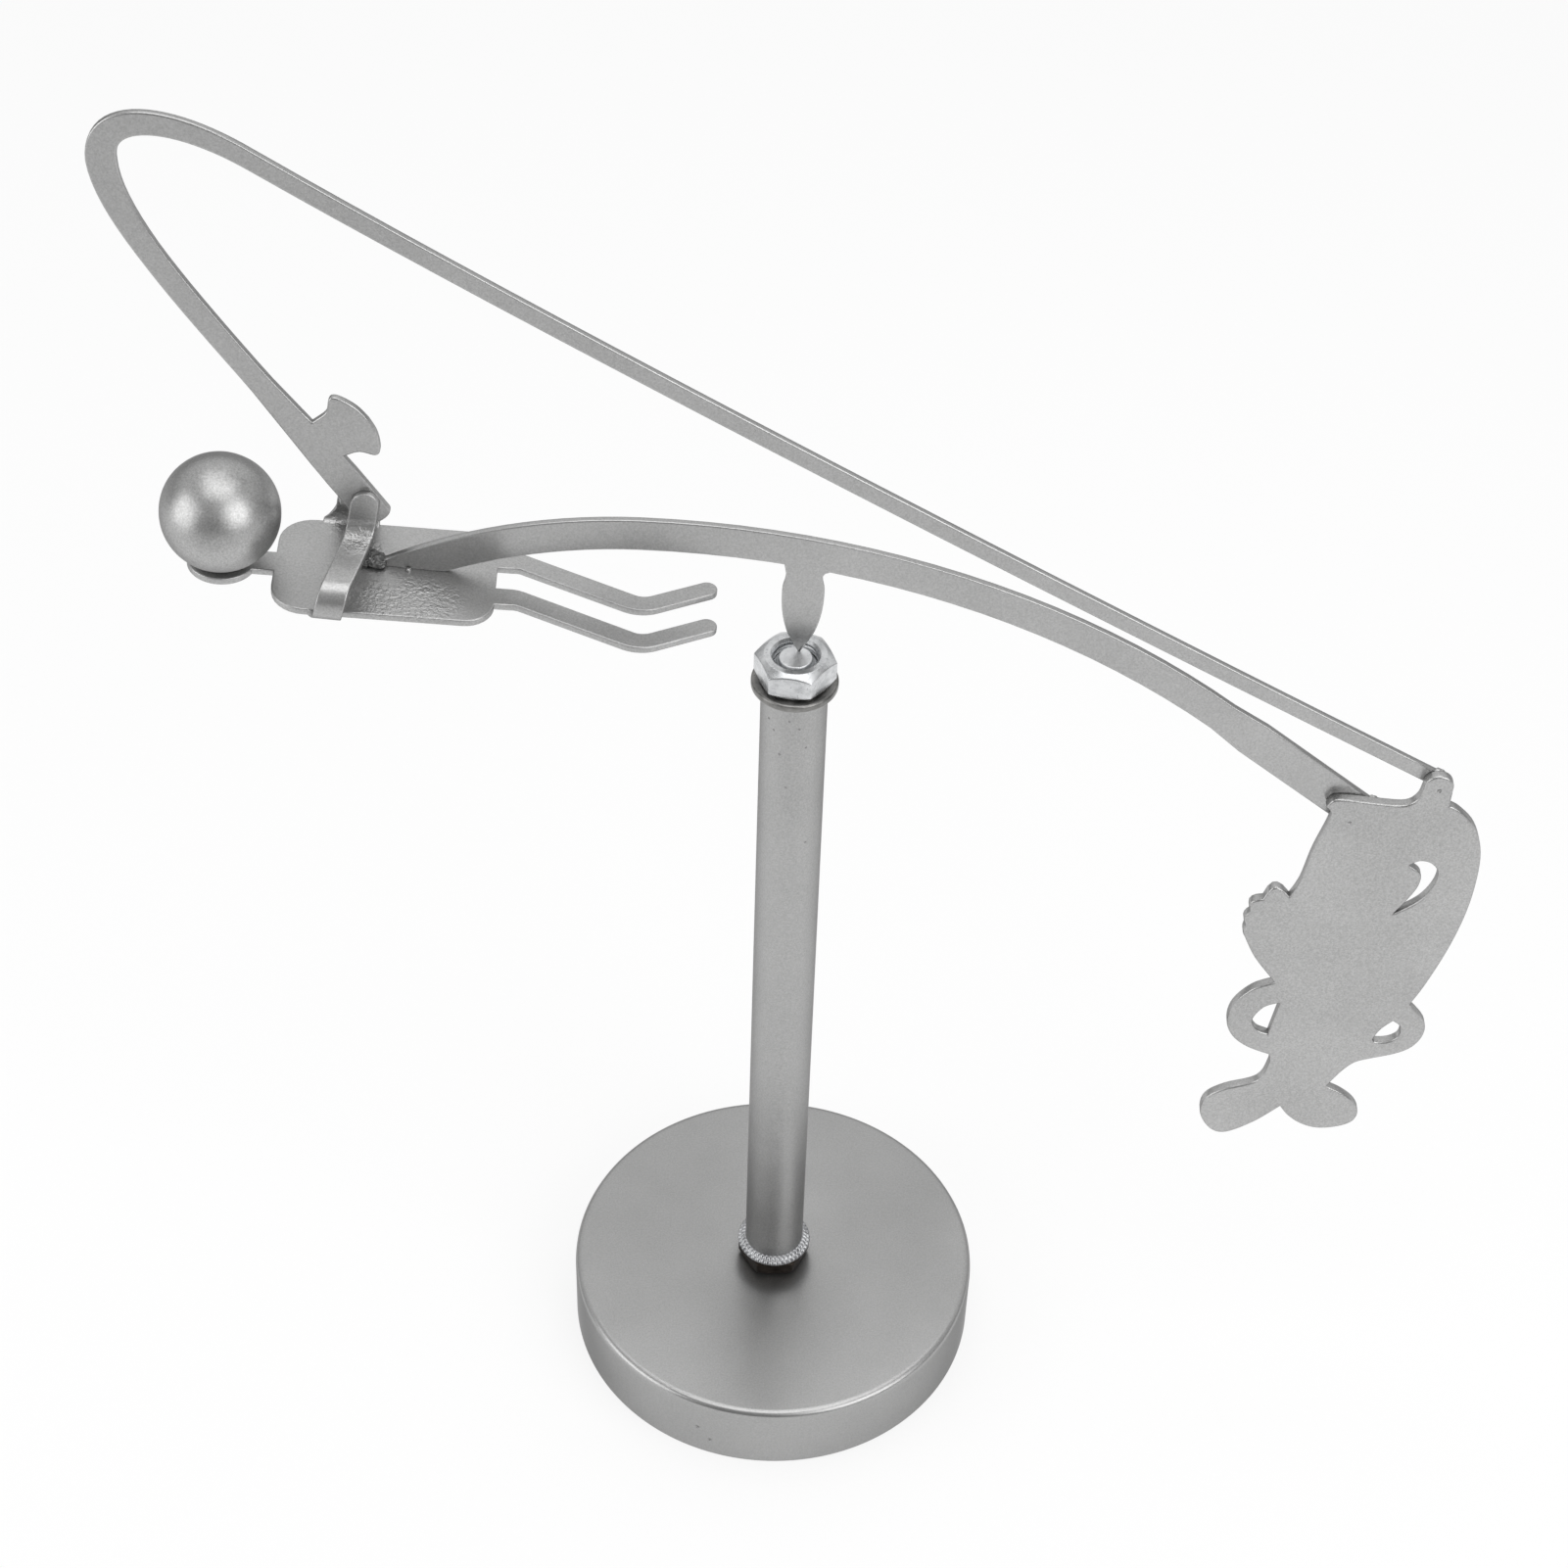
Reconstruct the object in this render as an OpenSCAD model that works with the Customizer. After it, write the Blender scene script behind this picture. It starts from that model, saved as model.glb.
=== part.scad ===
// Counterweight balancing toy: a sheet-steel angler, pulled through the air by the fish
// on the line, stands on one point in a shallow cup on top of a post and rocks there.
// Millimetres, +Z up, origin at the centre of the base's underside. The figure's own
// plane is parallel to X-Z, with the angler at -X and the fish at +X.

/* [Base and post] */
// Diameter of the base disc
base_d = 65; // [56:0.5:90]
// Height of the base disc
base_h = 12.6; // [11:0.2:20]
// Rounding of the base's top edge
base_edge_r = 1.2; // [0.5:0.1:3]
// Chamfer of the base's bottom edge
base_foot_chamfer = 0.6; // [0.2:0.1:1.5]
// Diameter of the counterbore for the bolt head under the base
counterbore_d = 15; // [13:0.5:20]
// Depth of that counterbore
counterbore_depth = 5; // [4.5:0.5:8]
// Outside diameter of the post tube
tube_od = 9.3; // [8.6:0.1:10.4]
// Wall of the post tube
tube_wall = 1.1; // [0.6:0.1:1.2]
// Length of the post tube
tube_len = 120.1; // [100:0.1:140]

/* [Clamping hardware] */
// Thread diameter of the through bolt and its nuts
thread_d = 6; // [5:0.5:6]
// Radial play between the bolt and the nuts' threads
thread_fit = 0.05; // [0.02:0.01:0.15]
// Radial play between the bolt and the pieces it passes through
shank_fit = 0.2; // [0.1:0.05:0.3]
// Width across the flats of the bolt head
head_af = 10; // [8:0.5:10.5]
// Height of the bolt head
head_h = 4; // [3:0.25:4.25]
// Chamfer of the bolt's free end
bolt_end_chamfer = 1.1; // [0.3:0.1:1.2]
// Width across the flats of the thin nut at the post's foot
foot_nut_af = 10; // [9:0.5:12]
// Height of the thin nut at the post's foot
foot_nut_h = 3.4; // [2.5:0.1:5]
// Diameter over the teeth of the lock ring on the thin nut
ring_od = 11.8; // [11:0.1:13]
// Thickness of the lock ring where the tube stands on it
ring_t = 1.2; // [0.9:0.1:2]
// Thickness of the lock ring at its teeth
ring_rim_t = 0.65; // [0.4:0.05:0.9]
// Depth of the lock ring's teeth
tooth_depth = 0.3; // [0.15:0.05:0.4]
// Number of teeth round the lock ring
tooth_count = 48; // [24:1:60]
// Outside diameter of the flat washer on the tube
washer_od = 12.1; // [11:0.1:14]
// Thickness of the flat washer
washer_t = 1.1; // [0.8:0.1:2]
// Width across the flats of the pivot nut
nut_af = 10; // [9:0.5:12]
// Height of the pivot nut
nut_h = 4.4; // [4:0.1:7]
// Amount the nut's corners are turned down
nut_corner_cut = 0.3; // [0.1:0.05:0.5]
// Countersink at both mouths of a nut's thread
nut_mouth = 0.35; // [0.2:0.05:0.6]
// Depth of the cup, from the pivot nut's top down to the bolt's end
cup_depth = 0.6; // [0.4:0.05:1.5]

/* [Pivot] */
// Radius of the rounded nose that stands in the cup
nose_r = 0.5; // [0.4:0.05:0.6]
// Play between the nose and the foot that turns on it
nose_fit = 0.06; // [0.04:0.01:0.1]
// Height of the nose above the bolt's end
nose_lift = 0.02; // [0.01:0.01:0.05]
// Place of the nose in the cup, behind the bolt's axis
nose_back = 1.2; // [0:0.1:1.4]
// Place of the nose in the cup, to the fish's side of the bolt's axis
nose_side = 0.4; // [0:0.1:0.8]

/* [Balance beam] */
// Thickness of the sheet that the beam, rod and angler are cut from
sheet_t = 1.0; // [0.8:0.05:1.3]
// Width of the beam strip
beam_w = 4.9; // [4:0.1:6]
// Height of the beam's crest above the cup, to the middle of the strip
beam_crest_h = 19.3; // [17:0.1:22]
// Distance from the nose to the crest, towards the angler
beam_crest_x = 21.5; // [18:0.5:25]
// Radius of the beam on the fish's side of the crest
beam_r_fish = 129.3; // [120:0.5:140]
// Turn of the beam from the crest to its straight end
beam_turn = 38.4; // [34:0.2:41]
// Length of the straight end towards the fish
beam_end_len = 29; // [24:0.5:34]
// Width of the straight end
beam_end_w = 5.9; // [5:0.1:7]
// Radius of the beam on the angler's side of the crest
beam_r_man = 71.7; // [66:0.5:80]
// Width of the leaf-shaped foot
foot_w = 5.7; // [4.8:0.1:7]
// Width of the foot where it leaves the beam
foot_neck_w = 4.9; // [3.8:0.1:5.5]
// Height of the foot's widest place above the cup
foot_belly_h = 10.4; // [9:0.1:11]
// Lean of the foot towards the fish
foot_lean = 1.5; // [0:0.5:4]

/* [Angler] */
// Distance from the nose to the angler's seat under the beam
seat_x = 47.6; // [45:0.2:50]
// Offset of the angler's middle line in front of the beam
man_front = 0.8; // [0:0.1:2]
// Pitch of the angler's body, head end up
man_pitch = 4.5; // [2:0.1:7]
// Turn of the angler's body about its own upright, head end forward
man_yaw = 2.4; // [0:0.1:5]
// Length of the torso
torso_len = 29.4; // [27:0.2:34]
// Width of the torso
torso_w = 18.7; // [18:0.2:24]
// Length of the torso on the leg side of the seat
hip_reach = 6.9; // [5.5:0.1:8]
// Rounding of the shoulders
shoulder_r = 4.6; // [3:0.2:7]
// Rounding of the hips
hip_r = 4; // [2:0.2:5]
// Width of the neck
neck_w = 3.9; // [3:0.1:6]
// Length of the neck, from the shoulders to the middle of the head disc
neck_len = 7; // [6:0.1:9]
// Diameter of the disc that carries the ball
disc_d = 9.2; // [8:0.2:12]
// Diameter of the steel ball for a head
ball_d = 15.9; // [14:0.1:18]
// Offset of the ball in front of the disc's middle
ball_front = 0.4; // [0:0.1:2]
// Distance between the middle lines of the legs
leg_pitch = 7.6; // [7:0.1:10]
// Width of a leg at the hip
leg_hip_w = 3.4; // [3:0.1:4.5]
// Width of a leg at the foot
leg_foot_w = 2.7; // [2.2:0.1:3.5]
// Length of a leg along the body, hip to foot
leg_len = 29.6; // [26:0.2:34]
// Sideways reach of the knees
knee_side = 7.3; // [5:0.1:9]
// Width of an arm
arm_w = 3.8; // [3:0.1:4.6]
// Lean of the arms towards the legs
arm_lean = 18; // [10:0.5:24]
// Distance from the seat back to the near arm's root
near_arm_x = 14.2; // [12:0.1:16]
// Distance from the seat back to the far arm's root
far_arm_x = 15.8; // [13:0.1:17]
// Reach of the near arm's lower bend beyond the torso's edge
elbow_out = 2.1; // [1.6:0.1:3]
// Height of the near arm's elbow above the torso
elbow_h = 4.8; // [3.6:0.1:6]
// Height of the middle of the hands above the torso
hand_h = 10.2; // [9:0.1:11.5]
// Bend radius of the arms, to the middle of the sheet
arm_bend_r = 1.5; // [1:0.1:2]

/* [Fishing rod and line] */
// Lean of the rod at the hands, away from the upright
rod_lean = 32; // [28:0.5:36]
// Length of the rod's butt below the middle of the hands
butt_len = 2.3; // [2:0.1:4]
// Height of the rod's loop above the cup, to the middle of the strip
loop_top_h = 78.7; // [72:0.2:86]
// Distance from the nose to the loop's far end, to the middle of the strip
loop_x = 85.9; // [82:0.2:92]
// Width of the rod at its butt
butt_w = 4.7; // [3.8:0.1:5.5]
// Width of the rod above the reel
rod_w = 3.2; // [2.4:0.1:4]
// Width of the strip round the loop
loop_w = 3.8; // [3:0.1:4.6]
// Width of the line below the loop
line_w = 2.6; // [2:0.1:3.2]
// Width of the line at the fish
line_end_w = 2.4; // [1.8:0.1:2.8]
// Distance from the rod's butt to the middle of the reel
reel_along = 13.1; // [12:0.1:15]
// Length of the reel along the rod, horn to horn
reel_len = 10.2; // [8:0.1:12]
// Distance from the rod's middle line to the reel's back
reel_out = 8.4; // [7:0.1:10]

/* [Fish] */
// Thickness of the fish plate
fish_t = 1.59; // [1.3:0.01:2.6]
// Length of the fish, from the ear to the tail's end
fish_len = 75.4; // [68:0.2:84]
// Width of the fish body across its scallops
fish_w = 31.9; // [28:0.1:36]
// Diameter of the ear that holds the line
ear_d = 4.2; // [3.6:0.1:5]
// Place of the ear beyond the beam's tip
ear_beyond_tip = 8.5; // [6:0.1:10]
// Place of the ear above the beam's tip
ear_above_tip = 8.1; // [7:0.1:10]
// Bulge of the largest scallop, as a share of its length
scallop_bulge = 0.6; // [0.3:0.05:0.7]

/* [Weld beads] */
// Radius of the small beads
bead_r = 0.9; // [0.6:0.1:1.4]
// Radius of the lump at the angler's seat
seat_bead_r = 1.5; // [1.1:0.1:2]
// Length of the bead along the beam's end, behind the fish
fish_bead_len = 2; // [1:0.1:2.5]
// Diameter of the fillet under the ball
ball_fillet_d = 5.6; // [4.5:0.1:7]

/* [Hidden] */
$fn = 96;
curve_steps = 24;
bend_steps = 8;
run_steps = 5;
past = 1;
big = 400;

paint = "#9a9a98";
zinc = "#c9ccd0";
raw_steel = "#6f6f6c";
dark_steel = "#55504a";

// Heights of the clamped stack, from the floor up
foot_nut_z = base_h;
ring_z = foot_nut_z + foot_nut_h;
tube_z = ring_z + ring_t;
washer_z = tube_z + tube_len;
nut_z = washer_z + washer_t;
cup_z = nut_z + nut_h - cup_depth;
bore_d = thread_d + 2 * shank_fit;
nose_z = nose_lift + nose_r;

// Small vector helpers
function unit(v) = v / norm(v);
function left_of(v) = [-v[1], v[0]];
function mix(a, b, t) = a + (b - a) * t;
function turned(v, a) = [v[0] * cos(a) - v[1] * sin(a), v[0] * sin(a) + v[1] * cos(a)];
function in_plane(p, y) = [p[0], y, p[1]];
function mirrored(p) = [for (i = [len(p) - 1:-1:0]) [-p[i][0], p[i][1]]];

// A cubic curve by its end points and handles, and its points without the last
function cubic(p, t) = pow(1 - t, 3) * p[0] + 3 * t * pow(1 - t, 2) * p[1]
    + 3 * t * t * (1 - t) * p[2] + pow(t, 3) * p[3];
function cubic_points(p, steps = curve_steps) = [for (i = [0:steps - 1]) cubic(p, i / steps)];

// A smooth run through a few points, without the last
function run_at(p, i, t) =
    let (a = p[max(i - 1, 0)], b = p[i], c = p[i + 1], d = p[min(i + 2, len(p) - 1)])
    cubic([b, b + (c - a) / 6, c - (d - b) / 6, c], t);
function smooth_run(p) =
    [for (i = [0:len(p) - 2], k = [0:run_steps - 1]) run_at(p, i, k / run_steps)];

// The arc that rounds corner b of the path a-b-c
function corner_arc(a, b, c, r) =
    let (u = unit(a - b), v = unit(c - b), half = acos(u * v) / 2,
        o = b + unit(u + v) * r / sin(half),
        s = b + u * r / tan(half) - o,
        e = b + v * r / tan(half) - o,
        side = s[0] * e[1] - s[1] * e[0] > 0 ? 1 : -1,
        sweep = side * (180 - 2 * half))
    [for (k = [0:bend_steps]) o + turned(s, sweep * k / bend_steps)];

// A path with rounded inner corners, and a closed outline with rounded corners
function rounded_path(p, r) = concat([p[0]],
    [for (i = [1:len(p) - 2]) each corner_arc(p[i - 1], p[i], p[i + 1], r)],
    [p[len(p) - 1]]);
function rounded_loop(p, radii) = let (n = len(p))
    [for (i = [0:n - 1]) each corner_arc(p[(i + n - 1) % n], p[i], p[(i + 1) % n], radii[i])];

// The outline of a strip along a path, with a half width for each point
function path_dir(p, i) = unit(p[min(i + 1, len(p) - 1)] - p[max(i - 1, 0)]);
function strip(p, half) = concat(
    [for (i = [0:len(p) - 1]) p[i] - left_of(path_dir(p, i)) * half[i]],
    [for (i = [len(p) - 1:-1:0]) p[i] + left_of(path_dir(p, i)) * half[i]]);

// A plate standing in the figure's plane, with its back face at the given place in Y
module upright(t, back) {
    translate([0, back, 0]) rotate([90, 0, 0]) linear_extrude(t) children();
}

// The figure's frame: its origin is where the nose meets the bolt's end
module in_figure() {
    translate([nose_side, nose_back, cup_z]) children();
}

// The sheet's faces in the figure's frame
sheet_back = sheet_t / 2;
sheet_front = -sheet_t / 2;

// The beam: middle line of the strip
crest = [-beam_crest_x, beam_crest_h];
fish_centre = crest - [0, beam_r_fish];
man_centre = crest - [0, beam_r_man];
beam_end_dir = [cos(beam_turn), -sin(beam_turn)];
beam_bend_end = fish_centre + beam_r_fish * [sin(beam_turn), cos(beam_turn)];
beam_tip = beam_bend_end + beam_end_len * beam_end_dir;
beam_flare_len = 6;
beam_man_turn = 40;
arc_steps = 20;
function beam_arc(centre, r, from, to) = [for (i = [0:arc_steps - 1])
    let (a = mix(from, to, i / arc_steps)) centre + r * [sin(a), cos(a)]];
beam_path = concat(beam_arc(man_centre, beam_r_man, -beam_man_turn, 0),
    beam_arc(fish_centre, beam_r_fish, 0, beam_turn),
    [beam_bend_end, beam_bend_end + beam_end_dir * beam_flare_len, beam_tip]);
beam_halves = concat([for (i = [0:2 * arc_steps]) beam_w / 2], [beam_end_w / 2, beam_end_w / 2]);

// The seat: where the beam's lower edge meets the angler's back
seat_dx = seat_x - beam_crest_x;
beam_r_under = beam_r_man - beam_w / 2;
seat_h = man_centre[1] + sqrt(pow(beam_r_under, 2) - pow(seat_dx, 2));
seat = [-seat_x, seat_h];

// The beam's point: where its upper edge runs out on the angler's back
beam_r_over = beam_r_man + beam_w / 2;
seat_lean = (man_centre - seat) * [cos(man_pitch), -sin(man_pitch)];
seat_len = sqrt(pow(seat_lean, 2) + pow(beam_r_over, 2) - pow(beam_r_under, 2)) - seat_lean;

// The angler's frame, without and with its turn: Z = 0 is the top of the sheet
module at_seat() {
    in_figure() translate(in_plane(seat, -man_front)) rotate([0, man_pitch, 0]) children();
}
module at_body() {
    at_seat() rotate([0, 0, man_yaw]) children();
}
shoulder_x = hip_reach - torso_len;
disc_x = shoulder_x - neck_len;
ball_r = ball_d / 2;

// Hands on both faces of the rod, in the frame of the seat
near_hand_y = man_front + sheet_front - sheet_t / 2;
far_hand_y = man_front + sheet_back + sheet_t / 2;
hand_top = hand_h + arm_w / 2;
near_hand_x = -near_arm_x + hand_h * tan(arm_lean);

// The rod's butt lies between the hands
grip = seat + turned([near_hand_x, hand_h], -man_pitch);
rod_dir = [-sin(rod_lean), cos(rod_lean)];
butt = grip - rod_dir * butt_len;

// The fish hangs on the straight end of the beam, and its ear takes the line
ear = beam_tip + [ear_beyond_tip, ear_above_tip];

// The rod, its loop and the line as three cubic curves that run into each other
loop_side = [-loop_x, loop_top_h - 5.5];
line_top = loop_side + [17.75, 1];
line_top_pull = [9.25, -6];
line_end_pull = [43.6, -24.4];
rod_pull = 30;
loop_pull = 10;
loop_rise = 7;
line_pull = 50;
rod_curve = [butt, butt + rod_dir * rod_pull, loop_side - [0, loop_pull], loop_side];
loop_curve = [loop_side, loop_side + [0, loop_rise], line_top - line_top_pull, line_top];
line_curve = [line_top, line_top + unit(line_top_pull) * line_pull, ear - line_end_pull, ear];
rod_path = concat(cubic_points(rod_curve), cubic_points(loop_curve),
    cubic_points(line_curve), [ear]);
rod_widths = [[0, butt_w], [0.1, butt_w], [0.3, rod_w], [0.65, rod_w], [1, loop_w],
    [2, line_w], [3, line_end_w]];
rod_halves = [for (i = [0:3 * curve_steps]) lookup(i / curve_steps, rod_widths) / 2];

// Base: a turned disc with a rounded top edge and a counterbored hole
module base_disc() {
    r = base_d / 2;
    c = base_foot_chamfer;
    e = base_edge_r;
    color(paint) difference() {
        rotate_extrude() {
            polygon([[0, 0], [r - c, 0], [r, c], [r, base_h - e], [r - e, base_h - e],
                [r - e, base_h], [0, base_h]]);
            translate([r - e, base_h - e]) intersection() {
                circle(e);
                square(e);
            }
        }
        translate([0, 0, -past]) cylinder(d = bore_d, h = base_h + 2 * past);
        translate([0, 0, -past]) cylinder(d = counterbore_d, h = counterbore_depth + past);
    }
}

// Through bolt: hex head in the counterbore, free end as the floor of the cup
module through_bolt() {
    r = thread_d / 2;
    top = cup_z - counterbore_depth + past;
    color(zinc) union() {
        translate([0, 0, counterbore_depth - head_h])
            cylinder(d = head_af / cos(30), h = head_h, $fn = 6);
        translate([0, 0, counterbore_depth - past]) rotate_extrude()
            polygon([[0, 0], [r, 0], [r, top - bolt_end_chamfer], [r - bolt_end_chamfer, top],
                [0, top]]);
    }
}

// A hex nut with chamfered, slightly turned-down corners and a countersunk thread
module hex_nut(af, h, turn) {
    flat_r = af / 2;
    corner_r = flat_r / cos(30) - nut_corner_cut;
    drop = (corner_r - flat_r) * tan(30);
    bore_r = thread_d / 2 + thread_fit;
    mouth_r = bore_r + nut_mouth;
    difference() {
        intersection() {
            rotate([0, 0, turn]) cylinder(r = flat_r / cos(30), h = h, $fn = 6);
            rotate_extrude() polygon([[0, 0], [flat_r, 0], [corner_r, drop], [corner_r, h - drop],
                [flat_r, h], [0, h]]);
        }
        rotate_extrude() polygon([[0, -past], [mouth_r, -past], [mouth_r, 0], [bore_r, nut_mouth],
            [bore_r, h - nut_mouth], [mouth_r, h], [mouth_r, h + past], [0, h + past]]);
    }
}

// Thin nut that holds the bolt upright on the base
module foot_nut() {
    color(dark_steel) translate([0, 0, foot_nut_z]) hex_nut(foot_nut_af, foot_nut_h, 4);
}

// Pivot nut: its thread stands proud of the bolt's end and makes the cup's wall
module pivot_nut() {
    color(zinc) translate([0, 0, nut_z]) hex_nut(nut_af, nut_h, -7);
}

// Lock ring: a toothed ring, flat under the tube and sloping away outside it
module lock_ring() {
    r = ring_od / 2;
    step = 360 / tooth_count;
    teeth = [for (i = [0:tooth_count - 1], half = [0, 1])
        (r - half * tooth_depth) * [cos((i + half / 2) * step), sin((i + half / 2) * step)]];
    color(zinc) translate([0, 0, ring_z]) difference() {
        intersection() {
            linear_extrude(ring_t) polygon(teeth);
            rotate_extrude() polygon([[0, 0], [r, 0], [r, ring_rim_t], [tube_od / 2, ring_t],
                [0, ring_t]]);
        }
        translate([0, 0, -past]) cylinder(d = bore_d, h = ring_t + 2 * past);
    }
}

// Post: a plain tube round the bolt
module post_tube() {
    color(paint) translate([0, 0, tube_z]) difference() {
        cylinder(d = tube_od, h = tube_len);
        translate([0, 0, -past]) cylinder(d = tube_od - 2 * tube_wall, h = tube_len + 2 * past);
    }
}

// Flat washer on the tube's top
module top_washer() {
    edge = washer_t * 0.3;
    r = washer_od / 2;
    color(raw_steel) translate([0, 0, washer_z]) difference() {
        rotate_extrude() polygon([[0, 0], [r - edge, 0], [r, edge], [r, washer_t - edge],
            [r - edge, washer_t], [0, washer_t]]);
        translate([0, 0, -past]) cylinder(d = bore_d, h = washer_t + 2 * past);
    }
}

// Pivot point: the rounded nose of the foot, the one thing that touches the stand
module pivot_point() {
    color(paint) in_figure() translate([0, 0, nose_z]) sphere(r = nose_r);
}

// The leaf-shaped foot, from the nose up into the beam, open below for the nose
module foot_outline() {
    belly = foot_w / 2;
    neck = foot_neck_w / 2;
    flare = neck + 1;
    under_beam = fish_centre[1] + sqrt(pow(beam_r_fish - beam_w / 2, 2) - pow(crest[0], 2));
    slope = crest[0] / (under_beam - fish_centre[1]);
    waist_h = mix(foot_belly_h, under_beam, 0.7);
    leaf = concat(
        cubic_points([[0.2, 0], [1.5, 2.6], [belly, foot_belly_h * 0.5], [belly, foot_belly_h]], 10),
        cubic_points([[belly, foot_belly_h], [belly, mix(foot_belly_h, waist_h, 0.5)],
            [neck, mix(foot_belly_h, waist_h, 0.5)], [neck, waist_h]], 6),
        [[neck, waist_h]]);
    right = concat(leaf, [[neck + 0.3, under_beam + slope * flare - 0.3],
        [flare, under_beam + slope * flare], [flare, under_beam + beam_w / 2]]);
    left = concat(leaf, [[neck + 0.3, under_beam - slope * flare - 0.3],
        [flare, under_beam - slope * flare], [flare, under_beam + beam_w / 2]]);
    difference() {
        rotate(-foot_lean) polygon(concat(right, mirrored(left)));
        translate([0, nose_z]) circle(nose_r + nose_fit);
        translate([-belly, -past]) square([foot_w, past + nose_z + nose_r * 0.8]);
    }
}

// Balance beam: arched strip with its foot, cut to lie on the angler's back
module balance_beam() {
    color(paint) in_figure() difference() {
        upright(sheet_t, sheet_back) {
            polygon(strip(beam_path, beam_halves));
            foot_outline();
        }
        translate(in_plane(seat, 0)) rotate([0, man_pitch, 0])
            translate([-big / 2, -big / 2, -big]) cube([big / 2 + hip_reach, big, big]);
    }
}

// One leg, from the hip to the rounded foot
module leg_outline() {
    thigh_x = hip_reach + leg_len * 0.1;
    knee_x = hip_reach + leg_len * 0.66;
    foot_x = hip_reach + leg_len - leg_foot_w / 2;
    knee_r = 4;
    path = rounded_path([[hip_reach - past, 0], [thigh_x, 0], [knee_x, -knee_side],
        [foot_x, -knee_side * 0.38]], knee_r);
    n = len(path) - 1;
    polygon(strip(path, [for (i = [0:n]) mix(leg_hip_w, leg_foot_w, i / n) / 2]));
    translate(path[n]) circle(d = leg_foot_w);
}

// An arm: the sheet's bent section, cut to a leaning strip with a round hand
module arm(section, root_x) {
    hand_x = root_x + hand_h * tan(arm_lean);
    half = arm_w / 2 / cos(arm_lean);
    foot_shift = sheet_t * tan(arm_lean);
    reach = 2 * torso_w;
    intersection() {
        rotate([90, 0, 90]) translate([0, 0, root_x - reach]) linear_extrude(2 * reach)
            polygon(strip(section, [for (p = section) sheet_t / 2]));
        translate([0, reach, 0]) rotate([90, 0, 0]) linear_extrude(2 * reach) {
            polygon([[root_x - half - foot_shift, -sheet_t], [root_x + half - foot_shift, -sheet_t],
                [hand_x + half, hand_h], [hand_x - half, hand_h]]);
            translate([hand_x, hand_h]) circle(r = half);
        }
    }
}

// Angler: torso, neck, head disc and legs in one sheet, with both arms bent up from its edges
module angler_plate() {
    mid = -sheet_t / 2;
    side = torso_w / 2;
    inset = 3;
    elbow_y = side + elbow_out;
    far_bend_y = side + elbow_out * 0.7;
    near_section = rounded_path([[-side + inset, mid], [-elbow_y, mid], [-elbow_y, elbow_h],
        [near_hand_y, elbow_h], [near_hand_y, hand_top + past]], arm_bend_r);
    far_section = rounded_path([[side - inset, mid], [far_bend_y, mid],
        [far_hand_y, hand_h - arm_w / 2], [far_hand_y, hand_top + past]], arm_bend_r);
    color(paint) union() {
        at_body() translate([0, 0, -sheet_t]) linear_extrude(sheet_t) {
            polygon(rounded_loop([[shoulder_x, -side], [hip_reach, -side], [hip_reach, side],
                [shoulder_x, side]], [shoulder_r, hip_r, hip_r, shoulder_r]));
            translate([disc_x, -neck_w / 2]) square([neck_len + past, neck_w]);
            translate([disc_x, 0]) circle(d = disc_d);
            for (s = [-1, 1]) translate([0, s * leg_pitch / 2]) leg_outline();
        }
        at_seat() arm(near_section, -near_arm_x);
        at_seat() arm(far_section, -far_arm_x);
    }
}

// Head: a solid steel ball that stands on the disc
module head_ball() {
    color(paint) at_body() translate([disc_x, -ball_front, ball_r]) sphere(r = ball_r);
}

// The reel on the rod's inner edge: a round back between two horns, [out, along] from the rod
module reel_outline() {
    horn = reel_len / 2;
    half = smooth_run([[reel_out, 0], [reel_out - 0.3, horn * 0.45], [reel_out - 1.4, horn * 0.9],
        [reel_out - 2.5, horn], [reel_out - 4, horn * 0.72], [reel_out - 5.9, horn * 0.64], [0, horn * 0.6]]);
    translate(butt + rod_dir * reel_along) rotate(rod_lean)
        polygon(concat([for (i = [len(half) - 1:-1:1]) [half[i][0], -half[i][1]]], half));
}

// Fishing rod, loop and line: one strip in the figure's plane
module fishing_rod() {
    color(paint) in_figure() upright(sheet_t, sheet_back) {
        polygon(strip(rod_path, rod_halves));
        reel_outline();
    }
}

// The fish is drawn about its ear; across it follows the width, along it the length
fish_drawn_w = 31.9;
fish_drawn_len = 75.4;
function fish_run(run) = [for (p = run) [p[0] * fish_w / fish_drawn_w, p[1] * fish_len / fish_drawn_len]];

// Scallops on the back, each with less bulge than the one before
scallop_ends = fish_run([[-17.7, -22.8], [-21.4, -23.5], [-22.9, -26.2], [-23.3, -28.9], [-23.1, -31.4]]);
function scallop(a, b, bulge) = [for (k = [0:run_steps - 1]) let (t = k / run_steps)
    mix(a, b, t) - left_of(b - a) * bulge * 4 * t * (1 - t)];
scallops = [for (i = [0:len(scallop_ends) - 2])
    each scallop(scallop_ends[i], scallop_ends[i + 1], scallop_bulge * pow(0.6, i))];

// The fish's outline, down the back, round the tail and up the belly
snout = [-15, -4.6];
tail_notch = [-12.8, -68.7];
ear_side = ear_d / 2 * fish_drawn_w / fish_w;
brow = [snout, [-14.2, -6.6], [-15.7, -13.5], [-16.6, -19.5], [-17.7, -22.8]];
flank = [[-23.1, -31.4], [-21, -35.8], [-17.4, -40.9]];
back_fin = [[-17.4, -40.9], [-20.5, -42.6], [-22.9, -46], [-23.4, -49.8], [-22.2, -53],
    [-19.7, -55.3], [-16.1, -56.9]];
back_tail = [[-16.1, -56.9], [-15.9, -59], [-17.2, -63], [-21.9, -65.2], [-24.6, -67.6],
    [-24.9, -71.2], [-23, -74.6], [-20.4, -75.3], [-16.4, -72.6], tail_notch];
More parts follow.
